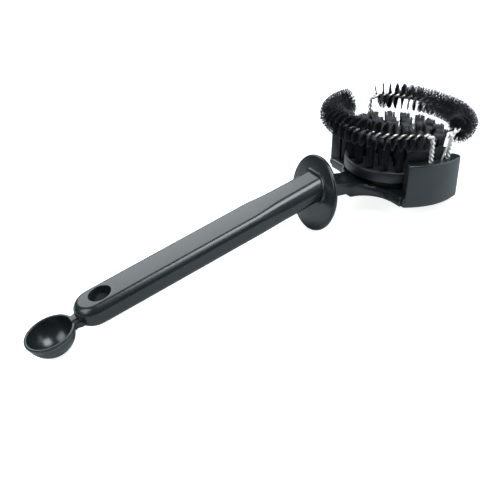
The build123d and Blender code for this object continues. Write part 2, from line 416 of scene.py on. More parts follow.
# ---- Shared shader groups ----
def plug(tree: Tree, value: float | Colour | Socket, socket: Socket) -> None:
    """Sets an input to a number or a colour, or links it to another node's output.

    Args:
        tree: The node tree.
        value: A number, a colour or a node's output.
        socket: The input.
    """
    if isinstance(value, Socket):
        tree.links.new(value, socket)
    else:
        socket.default_value = (*value, 1) if isinstance(value, tuple) else value


def noise(tree: Tree, vector: Socket, scale: Socket, detail: float = 2.0, rough: float = 0.5) -> Socket:
    """Adds a noise texture and gives its value.

    Args:
        tree: The node tree.
        vector: Where the pattern is read.
        scale: The pattern's scale.
        detail: How many finer layers it has.
        rough: How strong they are.

    Returns:
        The texture's value.
    """
    node = tree.nodes.new("ShaderNodeTexNoise")
    for label, value in (("Vector", vector), ("Scale", scale), ("Detail", detail), ("Roughness", rough)):
        plug(tree, value, node.inputs[label])
    return node.outputs["Fac"]


def maths(tree: Tree, operation: str, first: Socket, second: float | Socket, held: bool = False) -> Socket:
    """Adds a maths node and gives its result.

    Args:
        tree: The node tree.
        operation: The node's operation.
        first: Its first value.
        second: Its second value.
        held: Whether the result is held between 0 and 1.

    Returns:
        The result.
    """
    node = tree.nodes.new("ShaderNodeMath")
    node.operation, node.use_clamp = operation, held
    plug(tree, first, node.inputs[0])
    plug(tree, second, node.inputs[1])
    return node.outputs[0]


def weigh(tree: Tree, first: Socket, second: Socket, share: float) -> Socket:
    """Adds two values together, the first one by its share."""
    rest = maths(tree, "MULTIPLY", second, 1 - share)
    return maths(tree, "ADD", maths(tree, "MULTIPLY", first, share), rest)


def mix_colours(tree: Tree, factor: Socket, first: Colour | Socket, second: Colour | Socket) -> Socket:
    """Adds a mix of two colours and gives its result.

    Args:
        tree: The node tree.
        factor: How much of the second colour there is.
        first: The first colour.
        second: The second colour.

    Returns:
        The mixed colour.
    """
    node = tree.nodes.new("ShaderNodeMix")
    node.data_type = "RGBA"
    for place, value in ((0, factor), (6, first), (7, second)):
        plug(tree, value, node.inputs[place])
    return node.outputs[2]


def new_group(name: str, output: str, **inputs: float | Colour) -> tuple[Tree, bpy.types.NodeOutputs, Socket]:
    """Starts a shader node group that reads its pattern at a vector.

    Args:
        name: The group's name.
        output: The name of its one output, a colour if that is "Color".
        **inputs: The default of each further input.

    Returns:
        The group, the sockets of its inputs and the socket of its output.
    """
    tree = bpy.data.node_groups.new(name, "ShaderNodeTree")
    tree.interface.new_socket("Vector", in_out="INPUT", socket_type="NodeSocketVector")
    for label, default in inputs.items():
        kind = "NodeSocketColor" if isinstance(default, tuple) else "NodeSocketFloat"
        plug(tree, default, tree.interface.new_socket(label, in_out="INPUT", socket_type=kind))
    kind = "NodeSocketColor" if output == "Color" else "NodeSocketFloat"
    tree.interface.new_socket(output, in_out="OUTPUT", socket_type=kind)
    return tree, tree.nodes.new("NodeGroupInput").outputs, tree.nodes.new("NodeGroupOutput").inputs[0]


def make_moulded_grain() -> None:
    """Fine spark-eroded grain of a moulded surface, as a height."""
    tree, into, height = new_group("Moulded grain", "Height", Scale=2600.0)
    fine = noise(tree, into["Vector"], into["Scale"], 3.0, 0.6)
    coarse = noise(tree, into["Vector"], maths(tree, "MULTIPLY", into["Scale"], 0.21))
    tree.links.new(weigh(tree, fine, coarse, 0.65), height)


def make_handling_smudge() -> None:
    """Roughness that drifts a little where hands and cloths have been."""
    tree, into, rough = new_group("Handling smudge", "Roughness", Scale=40.0, Roughness=0.4, Spread=0.1)
    patch = noise(tree, into["Vector"], into["Scale"], 4.0, 0.6)
    streak = noise(tree, into["Vector"], maths(tree, "MULTIPLY", into["Scale"], 7.0))
    drift = maths(tree, "SUBTRACT", weigh(tree, patch, streak, 0.7), 0.5)
    swing = maths(tree, "MULTIPLY", maths(tree, "MULTIPLY", drift, into["Spread"]), 2.0)
    tree.links.new(maths(tree, "ADD", into["Roughness"], swing), rough)


def make_tone_drift() -> None:
    """A colour that drifts between two tones over the surface."""
    tree, into, colour = new_group(
        "Tone drift", "Color", Scale=60.0, Deep=(0.03, 0.03, 0.03), Pale=(0.05, 0.05, 0.05), Balance=0.5)
    patch = noise(tree, into["Vector"], into["Scale"], 3.0, 0.55)
    edge = maths(tree, "MULTIPLY", maths(tree, "SUBTRACT", patch, into["Balance"]), 3.0)
    factor = maths(tree, "ADD", edge, 0.5, held=True)
    tree.links.new(mix_colours(tree, factor, into["Deep"], into["Pale"]), colour)


def make_drawn_lines() -> None:
    """Fine marks that drawing leaves on a wire, as a height."""
    tree, into, height = new_group("Drawn lines", "Height", Scale=900.0)
    tree.links.new(noise(tree, into["Vector"], into["Scale"], 4.0, 0.7), height)


# ---- Finishes ----
class Coat:
    """A material in the making, with patterns laid in the piece's own coordinates."""

    def __init__(self, name: str) -> None:
        """Starts the material and finds its shader.

        Args:
            name: The material's name.
        """
        self.material = bpy.data.materials.new(name)
        self.material.use_nodes = True
        self.tree = self.material.node_tree
        self.shader = self.find("BSDF_PRINCIPLED")
        self.place = self.tree.nodes.new("ShaderNodeTexCoord").outputs["Object"]

    def find(self, kind: str) -> bpy.types.Node:
        """The tree's first node of a type."""
        return next(node for node in self.tree.nodes if node.type == kind)

    def group(self, name: str, **values: float | Colour) -> Socket:
        """Places a shared group, sets its inputs and gives its output.

        Args:
            name: The group's name.
            **values: Values for its inputs.

        Returns:
            The group's output.
        """
        node = self.tree.nodes.new("ShaderNodeGroup")
        node.node_tree = bpy.data.node_groups[name]
        for label, value in {"Vector": self.place, **values}.items():
            plug(self.tree, value, node.inputs[label])
        return node.outputs[0]

    def drive(self, label: str, value: float | Socket) -> None:
        """Feeds a value to an input of the shader."""
        plug(self.tree, value, self.shader.inputs[label])

    def smudge(self, scale: float, roughness: float, spread: float) -> None:
        """Lets the roughness drift."""
        rub = self.group("Handling smudge", Scale=scale, Roughness=roughness, Spread=spread)
        self.drive("Roughness", rub)

    def bump(self, height: Socket, strength: float, distance: float) -> None:
        """Feeds a height to the shader's normal.

        Args:
            height: The height.
            strength: How strongly it bends the normal.
            distance: How deep it reads, in metres.
        """
        node = self.tree.nodes.new("ShaderNodeBump")
        for label, value in (("Strength", strength), ("Distance", distance), ("Height", height)):
            plug(self.tree, value, node.inputs[label])
        self.drive("Normal", node.outputs["Normal"])


@dataclass(frozen=True)
class MouldedPlastic:
    """Satin charcoal plastic with a fine moulded grain."""

    name: str = "satin_charcoal_plastic"
    deep: Colour = (0.0092, 0.0122, 0.0138)
    pale: Colour = (0.0122, 0.0160, 0.0180)
    roughness: float = 0.26
    grain_scale: float = 2600.0
    grain_depth: float = 0.000014
    specular: float = 0.5

    def make(self) -> bpy.types.Material:
        """Builds the material.

        Returns:
            The material.
        """
        coat = Coat(self.name)
        coat.drive("Base Color", coat.group("Tone drift", Scale=45.0, Deep=self.deep, Pale=self.pale))
        coat.smudge(38.0, self.roughness, 0.05)
        coat.bump(coat.group("Moulded grain", Scale=self.grain_scale), 0.35, self.grain_depth)
        coat.drive("Specular IOR Level", self.specular)
        return coat.material


@dataclass(frozen=True)
class BlackNylon:
    """Bristle nylon: near black, with a faint blue-grey shine along each filament and a paler tip that is a
    painted highlight.
    """

    name: str = "black_nylon"
    deep: Colour = (0.0025, 0.0028, 0.0034)
    pale: Colour = (0.0075, 0.0088, 0.0115)
    roughness: float = 0.24
    # tip: a paler tone towards each filament's end, a painted highlight for light caught at the tips.
    tip: Colour = (0.012, 0.013, 0.016)
    tip_highlight_start: float = 0.85
    shine: float = 0.42

    def make(self) -> bpy.types.Material:
        """Builds the material; the painted highlight on the tip follows the filaments' "reach" attribute.

        Returns:
            The material.
        """
        coat = Coat(self.name)
        tone = coat.group("Tone drift", Scale=700.0, Deep=self.deep, Pale=self.pale, Balance=0.52)
        along = coat.tree.nodes.new("ShaderNodeAttribute")
        along.attribute_name = "reach"
        # Blends the tip's painted highlight in over the last part of each filament.
        past = maths(coat.tree, "SUBTRACT", along.outputs["Fac"], self.tip_highlight_start)
        tip_highlight_share = maths(coat.tree, "MULTIPLY", past, 1 / (1 - self.tip_highlight_start), held=True)
        coat.drive("Base Color", mix_colours(coat.tree, tip_highlight_share, tone, self.tip))
        coat.smudge(260.0, self.roughness, 0.12)
        coat.drive("Specular IOR Level", self.shine)
        return coat.material


@dataclass(frozen=True)
class DrawnWire:
    """Bright drawn steel wire, or a duller metal."""

    name: str = "bright_wire"
    deep: Colour = (0.70, 0.71, 0.73)
    pale: Colour = (0.95, 0.95, 0.94)
    roughness: float = 0.20

    def make(self) -> bpy.types.Material:
        """Builds the material.

        Returns:
            The material.
        """
        coat = Coat(self.name)
        tone = coat.group("Tone drift", Scale=420.0, Deep=self.deep, Pale=self.pale, Balance=0.47)
        coat.drive("Base Color", tone)
        coat.smudge(300.0, self.roughness, 0.12)
        coat.bump(coat.group("Drawn lines", Scale=1800.0), 0.25, 0.00003)
        coat.drive("Metallic", 1.0)
        return coat.material


class Finish(Enum):
    """Every finish of the brush: the record's slot for it and its maker."""

    BODY = ("body_plastic", MouldedPlastic())
    # Base: its tone, a little darker than the body plastic, is painted shade for the dark ground between the
    # tufts; its higher roughness is its real matt finish.
    BASE = ("base_plastic", MouldedPlastic(
        name="matt_black_painted_shade_plastic", deep=(0.0085, 0.0096, 0.0108), pale=(0.012, 0.0136, 0.015),
        roughness=0.40, grain_scale=2200.0, grain_depth=0.00005))
    # Inner walls: a near-black tone, darker than the body plastic, that is painted shade for the dark under
    # the bristles.
    WALL = ("body_plastic", MouldedPlastic(
        name="painted_shade_black_plastic", deep=(0.0045, 0.0050, 0.0056), pale=(0.0070, 0.0078, 0.0086),
        roughness=0.50, specular=0.3))
    TUFT = ("nylon_tuft", BlackNylon())
    # Spiral: the much paler tips are a painted highlight for the light lines along the edges of its spiral
    # rows.
    SPIRAL = ("nylon_spiral", BlackNylon(
        name="spiral_nylon", pale=(0.0050, 0.0058, 0.0080), roughness=0.34, tip=(0.034, 0.037, 0.043),
        tip_highlight_start=0.80, shine=0.25))
    WIRE = ("bright_wire", DrawnWire())
    ANCHOR = ("anchor_metal", DrawnWire(
        name="anchor_steel", deep=(0.30, 0.29, 0.27), pale=(0.55, 0.54, 0.50), roughness=0.38))

    def cover(self, piece: Piece) -> None:
        """Gives a piece this finish as its one material, made the first time it is asked for.

        Args:
            piece: The object.
        """
        maker = self.value[1]
        piece.data.materials.clear()
        piece.data.materials.append(bpy.data.materials.get(maker.name) or maker.make())


def dress(piece: Piece, finish: Finish, body: str, *nodes: str) -> None:
    """Gives a finished piece its material and body, and hides the CAD nodes that it stands for.

    Args:
        piece: The finished object.
        finish: Its finish.
        body: The body that it moves with.
        *nodes: The CAD nodes that it replaces.
    """
    finish.cover(piece)
    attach(piece, body)
    if nodes:
        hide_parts(*nodes)
    LOG.info("%s: %d faces, rides on %s", piece.name, len(piece.data.polygons), body)


# ---- Solids with rounded edges; all sizes are in millimetres ----
def inset_corners(corners: Corners, depth: float) -> Corners:
    """Moves every side of an anticlockwise outline inwards.

    Args:
        corners: Each corner's two coordinates and its radius.
        depth: How far the sides move in; a negative depth moves them out.

    Returns:
        The new corners, with radii that keep the rounding parallel.
    """
    sharpest, least_lean = 0.04, 0.25
    result = []
    count = len(corners)
    for i, (x, y, radius) in enumerate(corners):
        here = Vector((x, y))
        into = (here - Vector(corners[i - 1][:2])).normalized()
        out = (Vector(corners[(i + 1) % count][:2]) - here).normalized()
        side_in, side_out = Vector((-into.y, into.x)), Vector((-out.y, out.x))
        mid = (side_in + side_out).normalized()
        moved = here + mid * (depth / max(least_lean, mid.dot(side_in)))
        turns_left = into.x * out.y - into.y * out.x > 0
        result.append((moved.x, moved.y, max(sharpest, radius - depth if turns_left else radius + depth)))
    return result


def end_rings(corners: Corners, segments: int, rounding: float, nose: bool = False) -> Rings:
    """The outlines of a rounded end, from its flat face outwards.

    Args:
        corners: The full outline.
        segments: Pieces in each corner's arc.
        rounding: Radius of the end's rounding.
        nose: Whether only the outer upright edge of a turned section is rounded, in plan.

    Returns:
        Pairs of the distance from the end face and the outline there.
    """
    steps = 6 if nose else 3
    middle = mean_radius(corners)
    rings = []
    for k in range(steps + 1):
        turn = QUARTER * k / steps
        pull = rounding * (1 - math.sin(turn))
        if nose:
            shape = [(r - pull if r > middle else r, z, radius) for r, z, radius in corners]
            pull = 0.35 * max(0.0, 1 - 2.5 * k / steps)
        else:
            shape = corners
        rings.append((rounding * (1 - math.cos(turn)), rounded_outline(inset_corners(shape, pull), segments)))
    return rings


def turned_sector(name: str, corners: Corners, start: float, finish: float, rounding: tuple[float, float],
                  segments: int = 4, steps: int = 24) -> Piece:
    """A curved wall about the Z axis with rounded edges all round.

    Args:
        name: The piece's name.
        corners: The section's corners as radius, height and corner radius.
        start: Angle of the first end from +X, in degrees.
        finish: Angle of the last end.
        rounding: Radius of the first and of the last end's edges; above 1.6 only the outer upright edge is
            rounded.
        segments: Pieces in each corner's arc.
        steps: Sections between the ends.

    Returns:
        The piece.
    """
    middle, full = mean_radius(corners), rounded_outline(corners, segments)
    ends = [end_rings(corners, segments, radius, radius > 1.6) for radius in rounding]
    stations = [(start + math.degrees(away / middle), outline) for away, outline in ends[0]]
    first, last = stations[-1][0], finish - math.degrees(rounding[1] / middle)
    stations += [(first + (last - first) * k / steps, full) for k in range(1, steps)]
    stations += [(finish - math.degrees(away / middle), outline) for away, outline in reversed(ends[1])]
    sections = []
    for angle, outline in stations:
        c, s = math.cos(math.radians(angle)), math.sin(math.radians(angle))
        sections.append(np.column_stack([outline[:, 0] * c, outline[:, 0] * s, outline[:, 1]]) * MM)
    return loft(name, sections)


def upright_slab(name: str, plan: Corners, high: Callable[[float], float], rounding: tuple[float, float],
                 segments: int = 5) -> Piece:
    """A slab on the plane z = 0 with rounded corners in plan and rounded lower and upper edges.

    Args:
        name: The piece's name.
        plan: The plan's corners and radii, anticlockwise.
        high: Height of the top at a place along X.
        rounding: Radius of the lower and of the upper edge.
        segments: Pieces in each corner's arc.

    Returns:
        The piece.
    """
    lower, upper = (end_rings(plan, segments, radius) for radius in rounding)
    sections = [np.array([(x, y, away) for x, y in outline]) * MM for away, outline in lower]
    sections += [np.array([(x, y, high(x) - away) for x, y in outline]) * MM for away, outline in upper[::-1]]
    return loft(name, sections)


# ---- The tool: handle, spoon, guard and head frame ----
@dataclass
class BodyPiece:
    """A plastic piece of the tool that stands for one CAD node."""

    places: Places

    def make(self) -> None:
        """Builds and dresses the piece."""
        dress(self.build(), Finish.BODY, "tool", self.node)


@dataclass
class Handle(BodyPiece):
    """Flat-topped grip that narrows to a slim shoulder by the guard, with a hanging hole."""

    node: str = "handle_grip"
    length: float = 126.0
    half_width: float = 9.5
    half_height: float = 5.15
    hole_place: float = 112.4
    hole_radius: float = 5.14
    shoulder_start: float = 20.0
    shoulder_end: float = 35.0
    slim_top: float = 6.3
    guard_top: float = 5.6
    slim_shelf: float = 1.4
    edge: float = 2.4
    slim_half_width: float = 9.1
    soft: tuple[float, float] = (4.5, 3.2)
    segments: int = 6

    def matrix(self) -> Matrix:
        """The handle's own axes: X along it to the spoon, Z out of its flat top.

        Returns:
            The matrix from those axes to the frame's.
        """
        up = self.places.handle_up
        along = Vector((-up.z, 0, up.x))
        return matrix_of(along, up.cross(along), up, self.places.hole - along * (self.hole_place * MM))

    def corners(self, place: float) -> Corners:
        """Section corners at a place along the axis: half an outline and its mirror, anticlockwise.

        Args:
            place: Distance from the root, in millimetres.

        Returns:
            Each corner's two coordinates and its radius.
        """
        step = smoothstep(self.shoulder_start, self.shoulder_end, place)
        narrow = self.guard_top + (self.slim_top - self.guard_top) * clamp(place / 22.0)
        top = narrow + (self.half_width - self.edge - narrow) * step
        wide = self.slim_half_width + (self.half_width - self.slim_half_width) * step
        high = self.half_height
        shelf = self.slim_shelf + (high - self.edge - self.slim_shelf) * step
        soft = self.soft[0] + (self.soft[1] - self.soft[0]) * step
        right = [(wide - self.edge, -high, 3.0), (wide, -high + self.edge, 2.9), (wide, shelf, soft),
                 (top, high, soft)]
        return right + [(-x, y, r) for x, y, r in reversed(right)]

    def build(self) -> Piece:
        """Models the handle, its round end as sections that fan out about the end's middle.

        Returns:
            The handle.
        """
        centre, fan = self.length - self.half_width, 16
        stops = [(s, 0.0) for s in [*np.arange(-10.0, 47.0, 1.5), 60.0, 80.0, 100.0, centre]]
        stops += [(centre, QUARTER * k / fan) for k in range(1, fan + 1)]
        sections = [np.array([
            (s + abs(w) * math.sin(turn), w * math.cos(turn), n)
            for w, n in rounded_outline(self.corners(s), self.segments)]) * MM for s, turn in stops]
        grip = loft("handle_grip_shell", sections, capped=False)
        close_holes(grip)
        tidy(grip, 2e-6)
        mid, high = self.hole_radius, self.half_height
        cutter = spin_profile("hole_cutter", [
            (0.0, -high - 2), (mid + 0.6, -high - 2), (mid + 0.3, -high), (mid + 0.1, -high + 0.1),
            (mid, -high + 0.35), (mid, high - 0.35), (mid + 0.1, high - 0.1), (mid + 0.3, high),
            (mid + 0.6, high + 2), (0.0, high + 2)], 40)
        place_mesh(cutter, Matrix.Translation((self.hole_place * MM, 0, 0)))
        cut(grip, cutter)
        place_mesh(grip, self.matrix())
        trim(grip, SplashGuard(self.places).handle_face(-0.3), clear_inner=True)
        smooth(grip, 24)
        return grip


@dataclass
class SplashGuard(BodyPiece):
    """Round guard between neck and handle, with a soft lip round the handle's end."""

    node: str = "splash_guard"
    radius: float = 18.3
    thickness: float = 2.2
    edge: float = 0.9
    lean: float = math.radians(7.65)
    lip: tuple[tuple[float, float], ...] = (
        (-0.2, 1.75), (0.06, 1.45), (0.3, 1.28), (0.62, 1.12), (0.86, 0.86), (1.0, 0.5), (0.96, 0.18),
        (0.8, -0.05), (-0.2, -0.12))

    def normal(self) -> Vector:
        """The disc's normal, towards the handle."""
        return Vector((-math.cos(self.lean), 0, math.sin(self.lean)))

    def centre(self) -> Vector:
        """The disc's middle, from the far edge and the height of its box.

        Returns:
            The middle's place, in metres.
        """
        reach = ((self.radius - self.edge) * math.sin(self.lean)
                 + (self.thickness / 2 - self.edge) * math.cos(self.lean) + self.edge)
        return Vector((self.places.guard_far - reach, 0, self.places.guard_height)) * MM

    def handle_face(self, away: float) -> tuple[Vector, Vector]:
        """A point on the plane that lies a distance off the handle-side face, and its normal."""
        return self.centre() + self.normal() * ((self.thickness / 2 + away) * MM), self.normal()

    def build(self) -> Piece:
        """Models the disc and joins its lip to it.

        Returns:
            The guard.
        """
        half, flat = self.thickness / 2, self.radius - self.edge
        outline = [(0.0, half + 0.15), (self.radius * 0.5, half + 0.1), (flat, half)]
        outline += [(flat + self.edge * math.sin(turn), half * math.cos(turn))
                    for turn in (math.pi * k / 7 for k in range(1, 7))]
        outline += [(flat, -half), (0.0, -half)]
        disc = spin_profile("guard_disc", outline, 72, closed=False)
        turn = self.normal().to_track_quat("Z", "Y").to_matrix().to_4x4()
        place_mesh(disc, Matrix.Translation(self.centre()) @ turn)
        piece = join([disc, self.build_lip()], "splash_guard_disc")
        smooth(piece, 35)
        return piece

    def build_lip(self) -> Piece:
        """Models the lip as rings that follow the handle's outline, each on a plane off the disc's face.

        Returns:
            The lip.
        """
        handle = Handle(self.places)
        matrix = handle.matrix()
        along = matrix.col[0].to_3d()
        sections = []
        for away, grow in self.lip:
            face, normal = self.handle_face(away)
            ring = []
            for w, n in rounded_outline(inset_corners(handle.corners(0.0), -grow), handle.segments):
                point = matrix @ Vector((0, w * MM, n * MM))
                ring.append(tuple(point + along * ((face - point).dot(normal) / along.dot(normal))))
            sections.append(np.array(ring))
        return loft("guard_lip", sections, capped=False)


@dataclass
class MeasuringSpoon(BodyPiece):
    """Half-round detergent spoon on a ribbed neck."""

    node: str = "measuring_spoon"
    place: float = 139.0
    radius: float = 11.66
    wall: float = 0.99
    rim: float = 1.3
    tang: float = 5.9

    def build(self) -> Piece:
        """Models the bowl with its rim, and joins the neck to it.

        Returns:
            The spoon.
        """
        inner = self.radius - self.rim
        outer = inner + self.wall
        outline = [(inner * math.sin(turn), -inner * math.cos(turn))
                   for turn in (QUARTER * k / 18 * 0.985 for k in range(19))]
        outline += [(inner + 0.12, -0.06), (inner + 0.32, 0.0), (self.radius - 0.3, 0.0),
                    (self.radius - 0.09, -0.09), (self.radius, -0.3), (self.radius, -self.rim + 0.3),
                    (self.radius - 0.1, -self.rim + 0.09), (outer + 0.05, -self.rim - 0.05)]
        swing = QUARTER - math.asin((self.rim + 0.45) / outer)
        outline += [(outer * math.sin(turn), -outer * math.cos(turn))
                    for turn in (swing - swing * k / 14 for k in range(15))]
        bowl = spin_profile("spoon_bowl", outline, 56, closed=False)
        place_mesh(bowl, Matrix.Translation((self.place * MM, 0, 0)))
        piece = join([bowl, self.build_neck(self.place - inner)], "measuring_spoon_shell")
        place_mesh(piece, Handle(self.places).matrix())
        smooth(piece, 30)
        return piece

    def build_neck(self, end: float) -> Piece:
        """Models the neck with its raised rib, from inside the handle to the bowl.

        Args:
            end: Where the neck meets the bowl, in millimetres along the handle.

        Returns:
            The neck.
        """
        root, steps = Handle.length, 8
        start = root - self.tang
        sections = []
        for k in range(steps + 1):
            s = start + (end - start) * k / steps
            half = 4.5 - 0.9 * math.sin(math.pi * clamp((s - root) / (end - root)))
            left = [(-1.9, 0.74, 0.45), (-2.5, -0.02, 0.4), (-half, -0.12, 0.9)]
            right = [(-x, y, r) for x, y, r in reversed(left)]
            corners = [(-half, -3.9, 1.5), (half, -3.9, 1.5)] + right + left
            sections.append(np.array([(s, w, n) for w, n in rounded_outline(corners, 3)]) * MM)
        return loft("spoon_neck", sections)


@dataclass
class HeadFrame(BodyPiece):
    """Fork frame: two curved jaws on a crossbar, a round pedestal and the flared neck."""

    node: str = "head_frame"
    outer: float = 35.0
    band_inner: float = 29.6
    wall_inner: float = 26.1
    wall_outer: float = 29.2
    near: float = 27.0
    far: float = 28.3
    foot: float = 2.0
    nose: float = 3.0
    wall_far: float = 17.0
    plate: float = 5.0
    neck_half: float = 8.4
    flare: float = 12.8
    bar_near: float = 17.0
    bar_far: float = 13.0
    bar_reach: float = 28.6
    neck_end: float = 52.0
    guard_x: float = 46.13
    neck_top: float = 9.6
    slope_end: float = 14.5
    pedestal_radius: float = 20.0
    pedestal_high: float = 8.2
    bore: float = 7.05
    leg_places: tuple[tuple[float, int], ...] = ((6.2, -1), (13.3, 1))
    leg_radius: float = 31.44
    socket: float = 1.2
    socket_depth: float = 14.0

    def span(self, hand: Hand) -> tuple[float, float, int]:
        """First and last angle of a jaw, and 1 if the first is the handle side, -1 if the last is.

        Args:
            hand: The side of the head.

        Returns:
            The two angles in degrees and the order of the ends.
        """
        if hand is Hand.LEFT:
            return 90 - self.far, 90 + self.near, -1
        return 270 - self.near, 270 + self.far, 1

    def band(self, top: float, soft: float) -> Corners:
        """Section of a jaw's outer band up to a height, with the radius of its upper outer edge."""
        return [(self.band_inner, 0.0, 0.3), (self.outer - self.foot, 0.0, 0.5), (self.outer, self.foot, 0.6),
                (self.outer, top, soft), (self.band_inner, top, 0.3)]

    def build_jaw(self, hand: Hand) -> Piece:
        """Models one jaw's outer band with its rounded ends and the sockets for the wires.

        Args:
            hand: The side of the head.

        Returns:
            The band.
        """
        ledge = self.places.ledge
        first, last, order = self.span(hand)
        jaw = turned_sector(
            f"jaw_{hand.name.lower()}", self.band(ledge, 0.75), first, last, (0.45, self.nose)[::order])
        for angle, far in self.leg_places:
            x = far * self.leg_radius * math.sin(math.radians(angle))
            y = hand.value * self.leg_radius * math.cos(math.radians(angle))
            cut(jaw, cylinder(self.socket, ledge - self.socket_depth, ledge + 2, 20, x, y))
        return jaw

    def build_seat(self, hand: Hand) -> Piece:
        """Models the low ring under an inner wall.

        Args:
            hand: The side of the head.

        Returns:
            The ring.
        """
        inner, outer, low, high = self.wall_inner, self.band_inner + 0.6, 0.02, self.plate - 0.04
        corners = [(inner, low, 0.3), (outer, low, 0.1), (outer, high, 0.1), (inner, high, 0.3)]
        first, last, _ = self.span(hand)
        return turned_sector("seat", corners, first + 0.1, last - 0.1, (0.4, 0.4), 2, 20)

    def build_toe(self, hand: Hand) -> Piece:
        """Models the low end of a jaw's foot, which runs on to the crossbar's near face.

        Args:
            hand: The side of the head.

        Returns:
            The toe.
        """
        first, last, order = self.span(hand)
        reach = math.degrees(math.acos(self.bar_near / self.outer))
        start, finish = (180 + reach, first + 1.0) if order > 0 else (last - 1.0, 180 - reach)
        corners = self.band(self.plate - 0.05, 1.2)
        return turned_sector("toe", corners, start, finish, (1.2, 0.1)[::order], 4, 3)

    def top(self, x: float) -> float:
        """Height of the plate's and the neck's top, which rises evenly towards the handle."""
        slope = (self.neck_top - self.plate) / (self.guard_x - self.slope_end)
        return self.plate + max(0.0, -self.slope_end - x) * slope

    def build_crossbar(self) -> Piece:
        """Models the crossbar and drills the bore that takes the brush's spigot.

        Returns:
            The crossbar.
        """
        near, far, reach = -self.bar_near, self.bar_far, self.bar_reach
        plan = [(near, -reach, 0.6), (far, -reach + 0.9, 0.6), (far, reach - 0.9, 0.6), (near, reach, 0.6)]
        bar = upright_slab("crossbar", plan, lambda x: self.top(x) - 0.03, (1.5, 1.6))
        cut(bar, cylinder(self.bore, 2, 12, 48))
        return bar

    def build_neck(self) -> Piece:
        """Models the flared neck with its sloping top and stepped underside.

        Returns:
            The neck.
        """
        half, flare, near = self.neck_half, self.flare, self.bar_near
        right = [(-self.neck_end, half, 0.3)]
        for k in range(11):
            turn = QUARTER * k / 10
            right.append((-near - flare + flare * math.sin(turn), half + flare * (1 - math.cos(turn)), 0.02))
        right.append((-self.slope_end, half + flare, 0.02))
        plan = [(x, -y, r) for x, y, r in right] + right[::-1]
        neck = upright_slab("neck", plan, self.top, (1.2, 2.4), 1)
        underside = ((-60, -5), (-28, -5), (-30, 0), (-33, 2.5), (-60, 2.5))
        cut(neck, loft("step_cutter", [
            np.array([(x * MM, y * MM, z * MM) for x, z in underside]) for y in (-14, 14)]))
        trim(neck, SplashGuard(self.places).handle_face(-self.plate + 2.9), clear_outer=True)
        return neck

    def build_pedestal(self) -> Piece:
        """Models the round seat under the brush, with its bore and a soft foot.

        Returns:
            The pedestal.
        """
        r, low, top = self.pedestal_radius, self.plate, self.pedestal_high - 0.02
        return spin_profile("pedestal", [
            (self.bore, 3.0), (r - 0.2, 3.0), (r + 0.9, low - 0.1), (r + 0.55, low + 0.02),
            (r + 0.2, low + 0.25), (r, low + 0.8), (r, top - 0.4), (r - 0.12, top - 0.12), (r - 0.4, top),
            (self.bore + 0.4, top), (self.bore, top - 0.4)], 72)

    def build(self) -> Piece:
        """Models the frame's parts and joins them.

        Returns:
            The frame.
        """
        pieces = [self.build_crossbar(), self.build_neck(), self.build_pedestal()]
        for hand in Hand:
            pieces += [self.build_jaw(hand), self.build_seat(hand), self.build_toe(hand)]
        piece = join(pieces, "fork_frame")
        smooth(piece, 30)
        return piece

    def make(self) -> None:
        """Builds and dresses the frame and its two inner walls."""
        super().make()
        for hand in Hand:
            self.make_wall(hand)

    def make_wall(self, hand: Hand) -> None:
        """Builds and dresses one inner wall in the near-black finish that paints shade on it.

        Args:
            hand: The side of the head.
        """
        inner, outer, low, high = self.wall_inner, self.wall_outer, self.plate, self.places.wall_top
        corners = [(inner, low, 0.2), (outer, low, 0.2), (outer, high, 0.45), (inner, high, 0.45)]
        first, last, order = self.span(hand)
        short = self.far - self.wall_far
        first, last = (first, last - short) if order > 0 else (first + short, last)
        wall = turned_sector(f"{hand.name.lower()}_inner_wall", corners, first, last, (0.9, 0.9))
        smooth(wall, 30)
        # The wall's darker colour is painted shade.
        dress(wall, Finish.WALL, "tool", f"{hand.name.lower()}_jaw_liner")


# ---- Filaments ----
def filament_template(rings: int) -> Template:
    """Models one three-sided tapered filament and reads its mesh.

    Args:
        rings: How many rings of three points it has.

    Returns:
        The points, with the place along the filament as their height, and the faces.
    """
    deselect()
    bpy.ops.mesh.primitive_cone_add(
        vertices=3, radius1=1.0, radius2=0.8, depth=1.0, end_fill_type="NOTHING", location=(0, 0, 0.5))
    bpy.ops.object.transform_apply(location=True, rotation=True, scale=True)
    piece = bpy.context.object
    for k in range(1, rings - 1):
        with editing(piece):
            bpy.ops.mesh.bisect(plane_co=(0, 0, (k / (rings - 1)) ** 0.45), plane_no=(0, 0, 1))
    close_holes(piece)
    tidy(piece)
    points = np.array([tuple(vertex.co) for vertex in piece.data.vertices])
    faces = [tuple(face.vertices) for face in piece.data.polygons if abs(face.center.z) > 1e-4]
    bpy.data.objects.remove(piece, do_unlink=True)
    return points, faces


